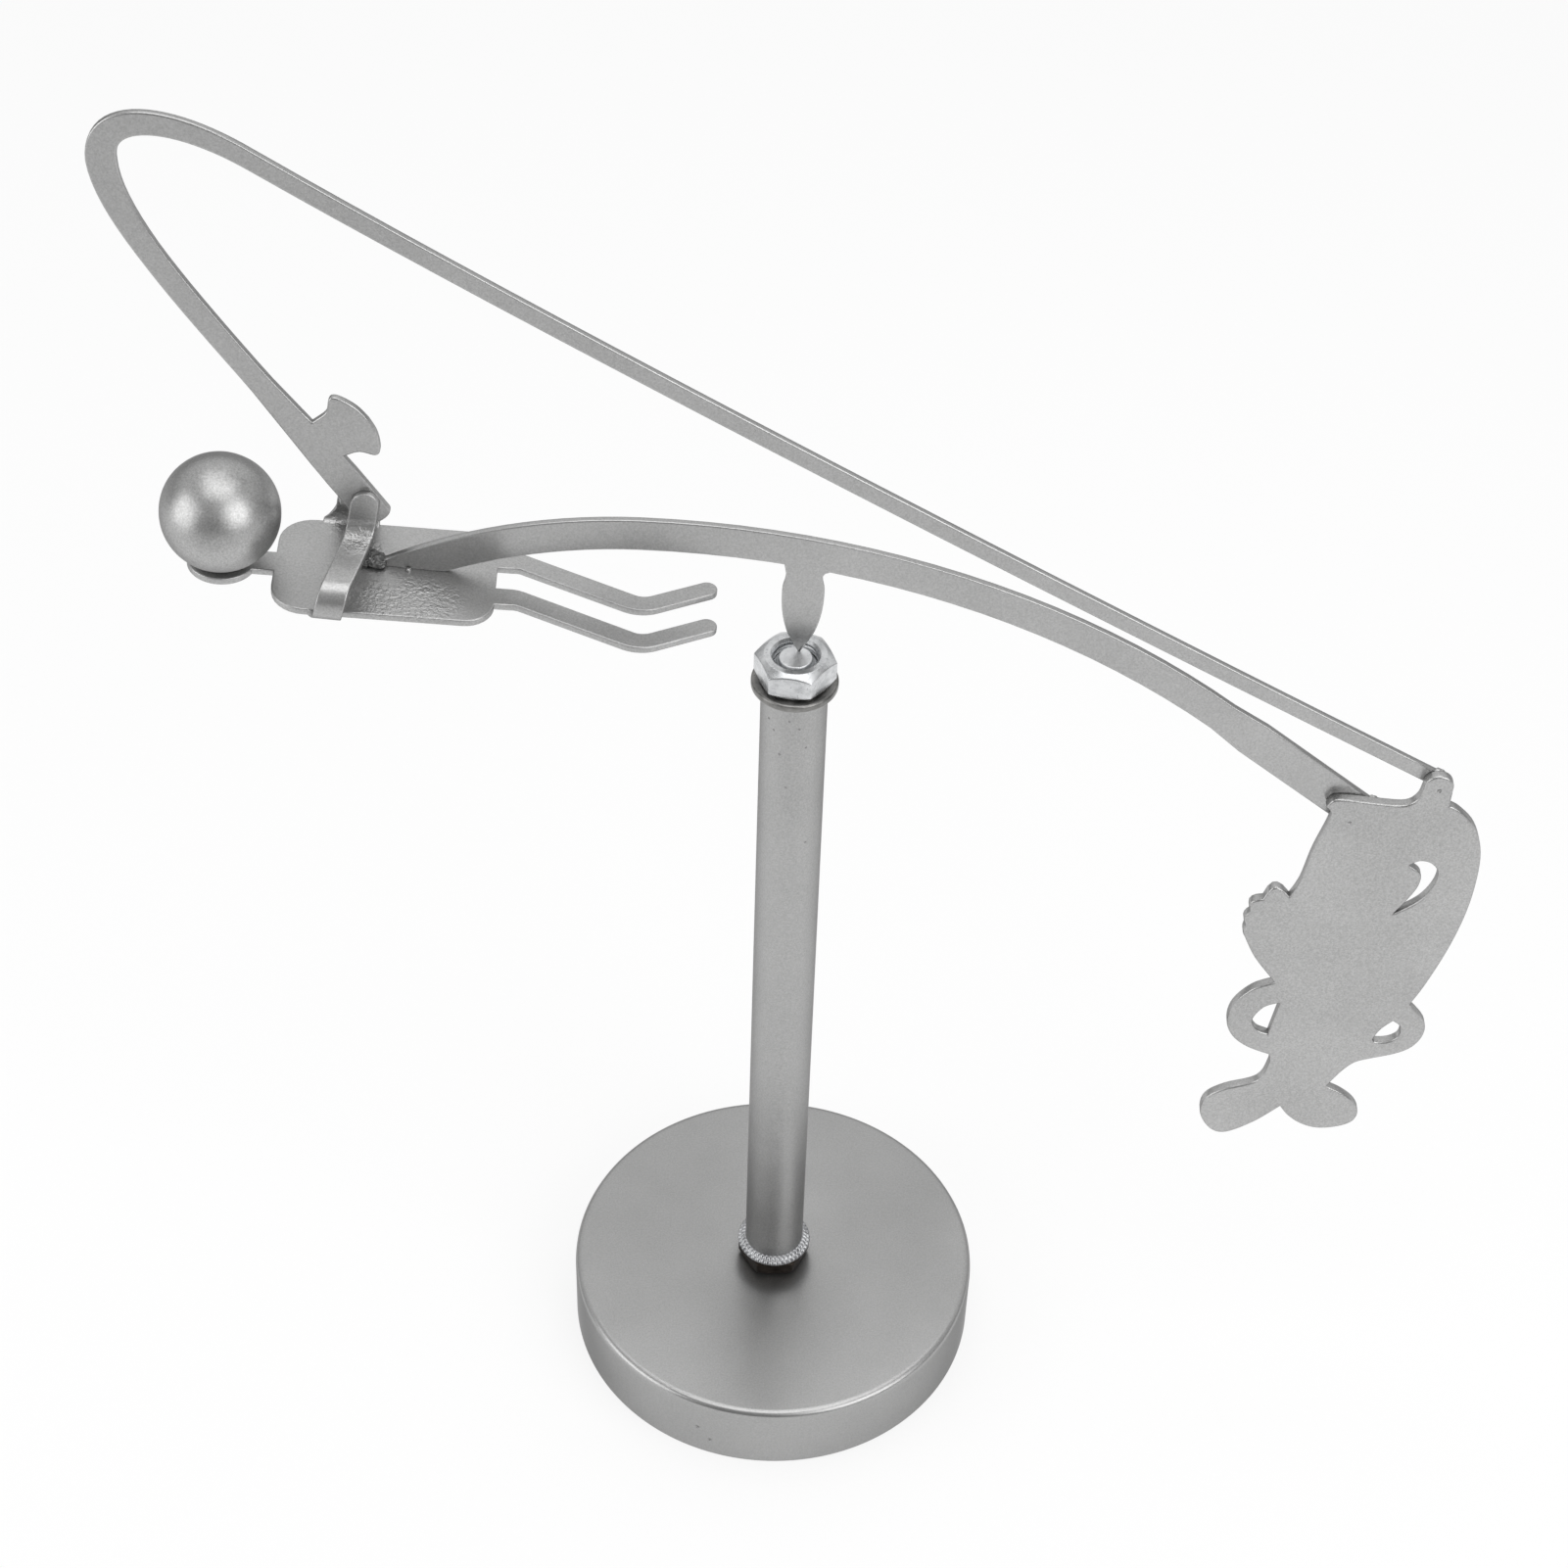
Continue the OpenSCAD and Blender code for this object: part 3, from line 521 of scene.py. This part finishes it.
def bolt_mesh(steps=96):
    """The through bolt: a flat end face, chamfer, rolled thread and hex head."""
    lo, hi = in_mm(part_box("through_bolt"))
    top, foot, seat = hi[2], lo[2], COUNTER_H
    threaded, land, flat_r = 24, 4.75, NUT_FLATS / 2
    profile = [(0.05, top), (1.1, top), (2.1, top), (2.19, top - 0.015), (2.26, top - 0.06),
               (2.3, top - 0.13), (2.52, top - 0.5), (2.56, top - 0.8), (2.62, top - 0.84),
               (THREAD_R, top - 1.2)]
    z = top - 1.6
    while z > top - threaded:
        profile += [(THREAD_R, z), (THREAD_ROOT, z - 0.35), (THREAD_ROOT, z - 0.5),
                    (THREAD_R, z - 0.85)]
        z -= PITCH_MM
    profile += [(THREAD_R, seat + 0.2), (BORE, seat)]

    def hexagon(z):
        out = []
        for a in angles(steps):
            fold = (a + math.pi / 6) % (math.pi / 3) - math.pi / 6
            out.append(polar(flat_r / math.cos(math.pi / 6 - abs(fold)), a, z))
        return out

    rings = [circle_points(r, z, steps) for r, z in profile]
    rings += [circle_points(land, seat, steps), hexagon(seat - 0.35), hexagon(foot + 0.45),
              circle_points(land, foot, steps), circle_points(0.05, foot, steps)]
    return capped_mesh("bolt_mesh", rings, 35)


place("bolt", bolt_mesh(), "stand", bolt_zinc, "zinc", "through_bolt")


def lock_ring_mesh(teeth=44, per_tooth=10):
    """The lock ring: a toothed rim whose teeth stand up as two rows of beads."""
    lo, hi = in_mm(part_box("lock_ring"))
    z0, z1 = lo[2], hi[2]
    # r, z and the share of a bead: above 0 in the inner row, below 0 in the outer one
    profile = [(BORE, z1, 0), (4.6, z1, 0), (4.75, z1 - 0.05, 0.2), (4.95, z1 - 0.02, 1),
               (5.15, z1 - 0.14, 1), (5.3, z1 - 0.36, 0.1), (5.42, z1 - 0.42, -0.3),
               (5.58, z1 - 0.4, -1), (5.8, z1 - 0.55, -1), (5.9, z1 - 0.8, -0.7),
               (5.75, z0 + 0.1, 0), (5.5, z0, 0), (BORE, z0, 0)]
    bead_height = 0.3
    rings = []
    for r, z, row in profile:
        phase = 0.5 if row < 0 else 0.0
        ring = []
        for i, a in enumerate(angles(teeth * per_tooth)):
            bead = abs(math.cos(math.pi * (i / per_tooth + phase)))
            dip = (bead ** 0.6 - 1) * bead_height * abs(row)
            ring.append(polar(r + dip * 0.5, a, z + dip))
        rings.append(ring)
    return wrapped_mesh("lock_ring_mesh", rings, 60)


place("toothed_ring", lock_ring_mesh(), "stand", ring_zinc, "zinc", "lock_ring")


# Figure

SHEET_T = 1.0
lo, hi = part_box("fish_plate")
FISH_T = (hi[1] - lo[1]) / MM
BEAM_EDGE, ROD_EDGE, FISH_EDGE, TORSO_EDGE, ARM_EDGE = 0.2, 0.24, 0.32, 0.16, 0.2
FOOT_POINT = (0.4, 142.34)


def bowed_end(loop, bow=1.15, steps=14):
    """The rod's outline with its straight cut by the hands bowed out."""
    low = min((i for i, p in enumerate(loop) if p.x < 0), key=lambda i: loop[i].y)
    a, b = loop[low], loop[(low + 1) % len(loop)]
    out = loop[low + 1:] + loop[:low]
    away = Vector((b.y - a.y, a.x - b.x)).normalized() * bow
    turns = [math.pi * k / steps for k in range(steps)]
    return out + [(a + b) / 2 + (a - b) / 2 * math.cos(t) + away * math.sin(t) for t in turns]


def run_out(loop, blunt=0.95, reach=3.2, tip=0.07):
    """The beam's outline with the blunt end of its foot drawn out to a point."""
    point = Vector(FOOT_POINT)
    out = []
    for p in loop:
        rise = p.y - point.y
        if abs(p.x - point.x) > reach or rise > reach:
            out.append(p)
        elif rise > blunt:
            out.append(Vector((point.x + (p.x - point.x) * (0.7 + 0.3 * rise / reach), p.y)))
        elif out and out[-1].y > point.y + tip:
            out += [point - Vector((tip, 0)), point + Vector((tip, 0))]
    return out


place("beam", upright_sheet("balance_beam", SHEET_T, BEAM_EDGE, run_out),
      "figure", paint, "silver_paint", "balance_beam")
place("rod_and_line", upright_sheet("fishing_rod", SHEET_T, ROD_EDGE, bowed_end),
      "figure", paint, "silver_paint", "fishing_rod")
place("fish", upright_sheet("fish_plate", FISH_T, FISH_EDGE),
      "figure", paint_fish, "silver_paint", "fish_plate")

# the angler has a pitched plane of its own, with its origin where the beam crosses the sheet's top
SEAT = (Matrix.Translation((-47.2 * MM, 0.4 * MM, 153.9432 * MM))
        @ Matrix.Rotation(math.radians(4.5), 4, "Y"))
BODY = SEAT @ Matrix.Rotation(math.radians(2.4), 4, "Z")
TORSO_SIDE, HIP_REACH = 9.35, 6.9

# the arms' paths in the seat's plane (y, z, bend radius), the middles of their width along them,
# half their width, and how much they widen to the root and flare at it
MID = -SHEET_T / 2
ARM_T = SHEET_T - 0.02
ARM_ROOT, ARM_FLARE_RUN = 3.0, 2.4
NEAR_ARM = dict(
    corners=[(-6.35, MID, 0), (-11.45, MID, 1.8), (-11.45, 3.8, 2.5), (-0.2, 5.8, 3.0),
             (-0.2, 12.5, 0)],
    middles=(-14.9, -13.9, -12.5, -11.3, -10.6), half=1.9, widen=0, flare=1.3)
FAR_ARM = dict(
    corners=[(6.35, MID, 0), (10.3, MID, 1.8), (8.6, 5.0, 3.0), (1.8, 8.9, 1.8), (1.8, 12.1, 0)],
    middles=(-12.9, -12.9, -12.7, -12.3, -11.9), half=2.0, widen=1.3, flare=1.4)


def torso_mesh():
    """The angler's flat sheet, with its sides straight where the arms leave it."""
    toward, across = -BODY.col[2].to_3d(), BODY.col[0].to_3d()
    loops, front = flat_face("angler_plate", toward, across)
    middle = BODY.translation.dot(toward.cross(across)) / MM
    hip = BODY.translation.dot(across) / MM + HIP_REACH
    loop = max(loops, key=len)
    beyond = [p.x < hip and abs(p.y - middle) > TORSO_SIDE - 0.01 for p in loop]
    kept = []
    for i, p in enumerate(loop):
        if beyond[i]:
            p.y = middle + math.copysign(TORSO_SIDE, p.y - middle)
        if not (beyond[i] and beyond[i - 1] and beyond[(i + 1) % len(loop)]):
            kept.append(p)
    return sheet("torso_mesh", [kept], front, SHEET_T, toward, across, TORSO_EDGE)


def bent_path(corners, step=0.2):
    """Points along a path of straight runs and bends, from its corners (y, z, bend radius)."""
    points = [Vector(corners[0][:2])]
    for before, at, after in zip(corners, corners[1:], corners[2:]):
        p, radius = Vector(at[:2]), at[2]
        u = (Vector(before[:2]) - p).normalized()
        v = (Vector(after[:2]) - p).normalized()
        half = u.angle(v) / 2
        reach = radius / math.tan(half)
        hub = p + (u + v).normalized() * radius / math.sin(half)
        a, b = p + u * reach - hub, p + v * reach - hub
        sweep = a.angle_signed(b)
        count = max(4, round(abs(sweep) * radius / step))
        points += [hub + Matrix.Rotation(-sweep * k / count, 2) @ a for k in range(count + 1)]
    points.append(Vector(corners[-1][:2]))
    dense = [points[0]]
    for p in points[1:]:
        gap = p - dense[-1]
        count = max(1, round(gap.length / step))
        if count > 1:
            dense += [dense[-1] + gap * (k / count) for k in range(1, count + 1)]
        else:
            dense.append(p)
    return dense


def arm_mesh(name, corners, middles, half, widen, flare, arc=14):
    """An arm bent up from the torso's edge: a strip with rounded edges and a round hand. It widens
    to its root, where its outline on the head's side runs out into the torso."""
    path = bent_path(corners)
    run = [0.0]
    for a, b in zip(path, path[1:]):
        run.append(run[-1] + (b - a).length)

    def on_path(s):
        i = next((k for k in range(1, len(run) - 1) if run[k] >= s), len(run) - 1)
        t = (s - run[i - 1]) / (run[i] - run[i - 1])
        along = (path[i] - path[i - 1]).normalized()
        return path[i - 1].lerp(path[i], t), Vector((along.y, -along.x))

    def middle(s):
        """A smooth curve through the middles, which are evenly spaced along the path."""
        t = s / run[-1] * (len(middles) - 1)
        k = min(int(t), len(middles) - 2)
        f = t - k
        a, b = middles[k], middles[k + 1]
        start = (b - middles[k - 1]) / 2 if k else b - a
        end = (middles[k + 2] - a) / 2 if k + 2 < len(middles) else b - a
        cubic = start + end - 2 * (b - a)
        return a + f * (start + f * (3 * (b - a) - 2 * start - end + f * cubic))

    hand = run[-1] - half
    stations = [(s, 90.0) for s in run if s < hand - 0.1]
    stations += [(hand, 90 - 90 * k / arc) for k in range(arc + 1)]
    steps = edge_steps(ARM_EDGE, ARM_T)
    rings = []
    for s, turn in stations:
        turn = math.radians(turn)
        ring = []
        for side in (1, -1):
            for inset_by, depth in steps if side > 0 else reversed(steps):
                wide = half - inset_by
                on = s + wide * math.cos(turn)
                wide = wide * math.sin(turn) + widen * max(0.0, 1 - s / hand)
                if side < 0:
                    left = 1 - (s - ARM_ROOT) / ARM_FLARE_RUN
                    wide += flare * max(0.0, min(1.0, left)) ** 2
                (y, z), out = on_path(on)
                lift = ARM_T / 2 - depth
                at = Vector((middle(on) + side * wide, y + out.x * lift, z + out.y * lift))
                ring.append(SEAT @ (at * MM))
        rings.append(ring)
    bm = bmesh.new()
    grid = ring_mesh(bm, rings, False)
    bm.faces.new(grid[0])
    bmesh.ops.remove_doubles(bm, verts=bm.verts, dist=2e-6)
    return finish_mesh(bm, name, 60)


place("angler", torso_mesh(), "figure", paint_angler, "silver_paint", "angler_plate")
place("near_arm", arm_mesh("near_arm_mesh", **NEAR_ARM), "figure", paint_angler, "silver_paint")
place("far_arm", arm_mesh("far_arm_mesh", **FAR_ARM), "figure", paint_angler, "silver_paint")


def ball_mesh(mark_reach=0.2, mark_height=0.16):
    """The head: a ground ball with faint hammer marks and a blemish on its right side."""
    bm = bmesh.new()
    bmesh.ops.create_icosphere(bm, subdivisions=6, radius=1.0)
    mark = Vector((0.82, -0.52, 0.2)).normalized()
    for v in bm.verts:
        n = v.co.normalized()
        r = BALL_R - 0.03 + 0.02 * noise.noise(n * 2.6)
        gap = (n - mark).length
        if gap < mark_reach:
            r += mark_height * noise.noise(n * 26) * (1 - gap / mark_reach)
        v.co = Vector([c * MM for c in BALL]) + n * r * MM
    return finish_mesh(bm, "ball_mesh", 80)


place("ball", ball_mesh(), "figure", paint_ball, "silver_paint", "head_ball")

# weld lumps: the centre, or its distance from the beam's tip on the angler's back, and the radii
FILLET_RADII = (2.9, 2.9, 0.5)
SEAT_BLOBS = [((0.3, 0.1, -0.1), (1.6, 1.3, 0.9)), ((-0.9, -0.5, -0.1), (1.0, 0.9, 0.7)),
              ((0.8, -0.9, -0.2), (1.2, 0.7, 0.55)), ((-0.4, 0.7, 0.0), (0.8, 0.7, 0.7)),
              ((-0.7, 1.3, -0.1), (1.0, 1.0, 0.75)), ((-1.4, 0.4, -0.1), (0.9, 1.0, 0.65)),
              ((-0.2, -0.4, 0.3), (0.7, 0.6, 0.55))]
SPATTER = ((-52.0, 0.2, 154.45), (0.38, 0.38, 0.36))

# the ball's fillet and the seat lump take the dark weld coat, which is painted shade
place("ball_fillet", lump("ball_fillet_mesh", [(middle_of(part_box("ball_weld")), FILLET_RADII)],
                          0.2, 4.0),
      "figure", painted_shade_weld_coat, "silver_paint", "ball_weld")
seat_blobs = [([c + d for c, d in zip(SEAT_TIP, off)], radii) for off, radii in SEAT_BLOBS]
place("seat_lump", lump("seat_lump_mesh", seat_blobs, 0.35, 9.0),
      "figure", painted_shade_weld_coat, "silver_paint", "seat_weld")
place("spatter", lump("spatter_mesh", [SPATTER], 0.2, 2.0, 3), "figure", paint, "silver_paint")

# corners (x, z) of the cut ends that are welded to the fish's back
BACK_Y = 0.85
BEAM_END = (83.77, 117.83), (80.11, 113.21)
LINE_END = (91.03, 124.67), (89.86, 122.57)


def weld_run(name, a, b, tail, r, seed):
    """Weld metal round the cut end of a strip, on the fish's back."""
    a, b = Vector(a), Vector(b)
    out = Vector((a.y - b.y, b.x - a.x)).normalized()
    corners = [a - out * tail, a, b, b - out * tail]
    blobs = []
    for p, q in zip(corners, corners[1:]):
        count = round((q - p).length / (r * 0.6))
        for k in range(count):
            at = p.lerp(q, k / count)
            size = r * (1 + 0.14 * math.sin(2.4 * len(blobs)))
            blobs.append(((at.x, BACK_Y, at.y), (size, size * 0.95, size)))
    return lump(name, blobs, 0.2, seed, 3)


place("fish_bead", weld_run("fish_bead_mesh", *BEAM_END, tail=2.2, r=0.78, seed=5.0),
      "figure", paint, "silver_paint", "fish_weld")
place("line_bead", weld_run("line_bead_mesh", *LINE_END, tail=0.9, r=0.62, seed=7.0),
      "figure", paint, "silver_paint", "line_weld")


def nose_mesh(steps=40):
    """The foot's point: a small blunt cone whose end stands in the cup."""
    lo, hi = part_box("pivot_point")
    x, y = (lo[0] + hi[0]) / 2, (lo[1] + hi[1]) / 2
    z0, z1 = lo[2] / MM, hi[2] / MM
    profile = [(0.01, z0), (0.05, z0 + 0.02), (0.1, z0 + 0.1), (0.16, z0 + 0.45), (0.2, z0 + 0.8),
               (0.15, z1), (0.01, z1)]
    rings = [[(px + x, py + y, pz) for px, py, pz in circle_points(r, z, steps)]
             for r, z in profile]
    return capped_mesh("nose_mesh", rings, 50)


place("nose", nose_mesh(), "pivot", paint, "silver_paint", "pivot_point")


# Floor, light and camera; lengths are in metres

FLOOR_HALF = 30.0
FLOOR_GLOW = 0.8
# the floor's glow by its distance from the middle and by Y: from, to, and the glow at both
FAR_FADE = (0.55, 1.3, 1.0, 0.6)
FRONT_FADE = (-0.3, -0.1, 0.68, 1.0)
# the surroundings' light by the direction's Y and Z: from, to, and the light at both
WORLD_DEPTH = (-0.5, 0.8, 0.32, 0.84)
WORLD_RISE = (0.05, 0.5, 0.45, 1.0)
# the lamps: place, side and watts; all look at one point
AIM = (0.0, 0.0, 0.12)
LAMPS = {"left_box": ((-0.859, -0.365, 0.413), 0.75, 3.3),
         "right_box": ((0.560, -0.514, 0.542), 0.7, 3.5),
         "top_box": ((0.004, 0.0, 1.064), 0.85, 3.7)}
# the camera, fitted to the photograph: place, angles, lens and sensor, in mm and degrees
CAMERA_AT = (1.922, -315.271, 415.533)
PITCH, YAW, ROLL = map(math.radians, (43.304, -0.527, 2.031))
LENS, SENSOR = 70.452, 36


def floor_material():
    """White paper: lit by the lamps, lifted to white where it is seen, greyer in front and far."""
    mat, tree, shader, coords = new_material("floor_paper")
    shader.inputs["Roughness"].default_value = 0.9
    shader.inputs["Specular IOR Level"].default_value = 0.1
    fibre = noise_tex(tree, coords, 900, 3)
    tree.links.new(tint(tree, fibre, (0.9, 0.9, 0.9), (0.94, 0.94, 0.94)),
                   shader.inputs["Base Color"])
    glow = tree.nodes.new("ShaderNodeEmission")
    away = tree.nodes.new("ShaderNodeVectorMath")
    away.operation = "LENGTH"
    tree.links.new(coords, away.inputs[0])
    split = tree.nodes.new("ShaderNodeSeparateXYZ")
    tree.links.new(coords, split.inputs["Vector"])
    far = remap(tree, away.outputs["Value"], *FAR_FADE, True)
    front = remap(tree, split.outputs["Y"], *FRONT_FADE, True)
    tree.links.new(math_node(tree, "MULTIPLY", far, front), glow.inputs["Strength"])
    mixer = tree.nodes.new("ShaderNodeMixShader")
    rays = tree.nodes.new("ShaderNodeLightPath").outputs
    seen = math_node(tree, "MAXIMUM", rays["Is Camera Ray"], rays["Is Glossy Ray"])
    seen = math_node(tree, "MAXIMUM", seen, rays["Is Transmission Ray"])
    tree.links.new(math_node(tree, "MULTIPLY", seen, FLOOR_GLOW), mixer.inputs["Fac"])
    tree.links.new(shader.outputs["BSDF"], mixer.inputs[1])
    tree.links.new(glow.outputs["Emission"], mixer.inputs[2])
    tree.links.new(mixer.outputs["Shader"], tree.nodes["Material Output"].inputs["Surface"])
    return mat


def softbox(name, place_at, side, watts):
    """A square area lamp that looks at the toy."""
    lamp = bpy.data.lights.new(name, "AREA")
    lamp.shape = "RECTANGLE"
    lamp.size = lamp.size_y = side
    lamp.energy = watts
    obj = bpy.data.objects.new(name, lamp)
    obj.location = place_at
    obj.rotation_euler = (Vector(AIM) - Vector(place_at)).to_track_quat("-Z", "Y").to_euler()
    SCENE.collection.objects.link(obj)


def studio_world():
    """Soft surroundings, dim behind the viewer and along the horizon, light above and behind."""
    world = bpy.data.worlds.new("studio")
    world.use_nodes = True
    tree = world.node_tree
    background = tree.nodes["Background"]
    direction = tree.nodes.new("ShaderNodeTexCoord").outputs["Generated"]
    split = tree.nodes.new("ShaderNodeSeparateXYZ")
    tree.links.new(direction, split.inputs["Vector"])
    level = remap(tree, split.outputs["Y"], *WORLD_DEPTH, True)
    rise = remap(tree, split.outputs["Z"], *WORLD_RISE, True)
    tree.links.new(math_node(tree, "MULTIPLY", level, rise), background.inputs["Strength"])
    background.inputs["Color"].default_value = (1, 1, 1, 1)
    return world


def photo_camera():
    """The camera at the photograph's angle, turned by pitch, yaw and roll."""
    ahead = Vector((math.sin(YAW) * math.cos(PITCH), math.cos(YAW) * math.cos(PITCH),
                    -math.sin(PITCH)))
    across = Vector((math.cos(YAW), -math.sin(YAW), 0))
    above = across.cross(ahead)
    cam_x = across * math.cos(ROLL) + above * math.sin(ROLL)
    cam_y = above * math.cos(ROLL) - across * math.sin(ROLL)
    camera = bpy.data.objects.new("camera", bpy.data.cameras.new("camera"))
    camera.data.sensor_width = SENSOR
    camera.data.lens = LENS
    camera.data.clip_start = 0.01
    turn = Matrix((cam_x, cam_y, -ahead)).transposed().to_4x4()
    camera.matrix_world = Matrix.Translation([c * MM for c in CAMERA_AT]) @ turn
    SCENE.collection.objects.link(camera)
    return camera


bm = bmesh.new()
bmesh.ops.create_grid(bm, x_segments=8, y_segments=8, size=FLOOR_HALF)
floor = bpy.data.objects.new("floor", finish_mesh(bm, "floor_mesh"))
floor.data.materials.append(floor_material())
SCENE.collection.objects.link(floor)

for lamp_name, lamp_values in LAMPS.items():
    softbox(lamp_name, *lamp_values)
SCENE.world = studio_world()
SCENE.camera = photo_camera()
SCENE.view_settings.view_transform = "Standard"
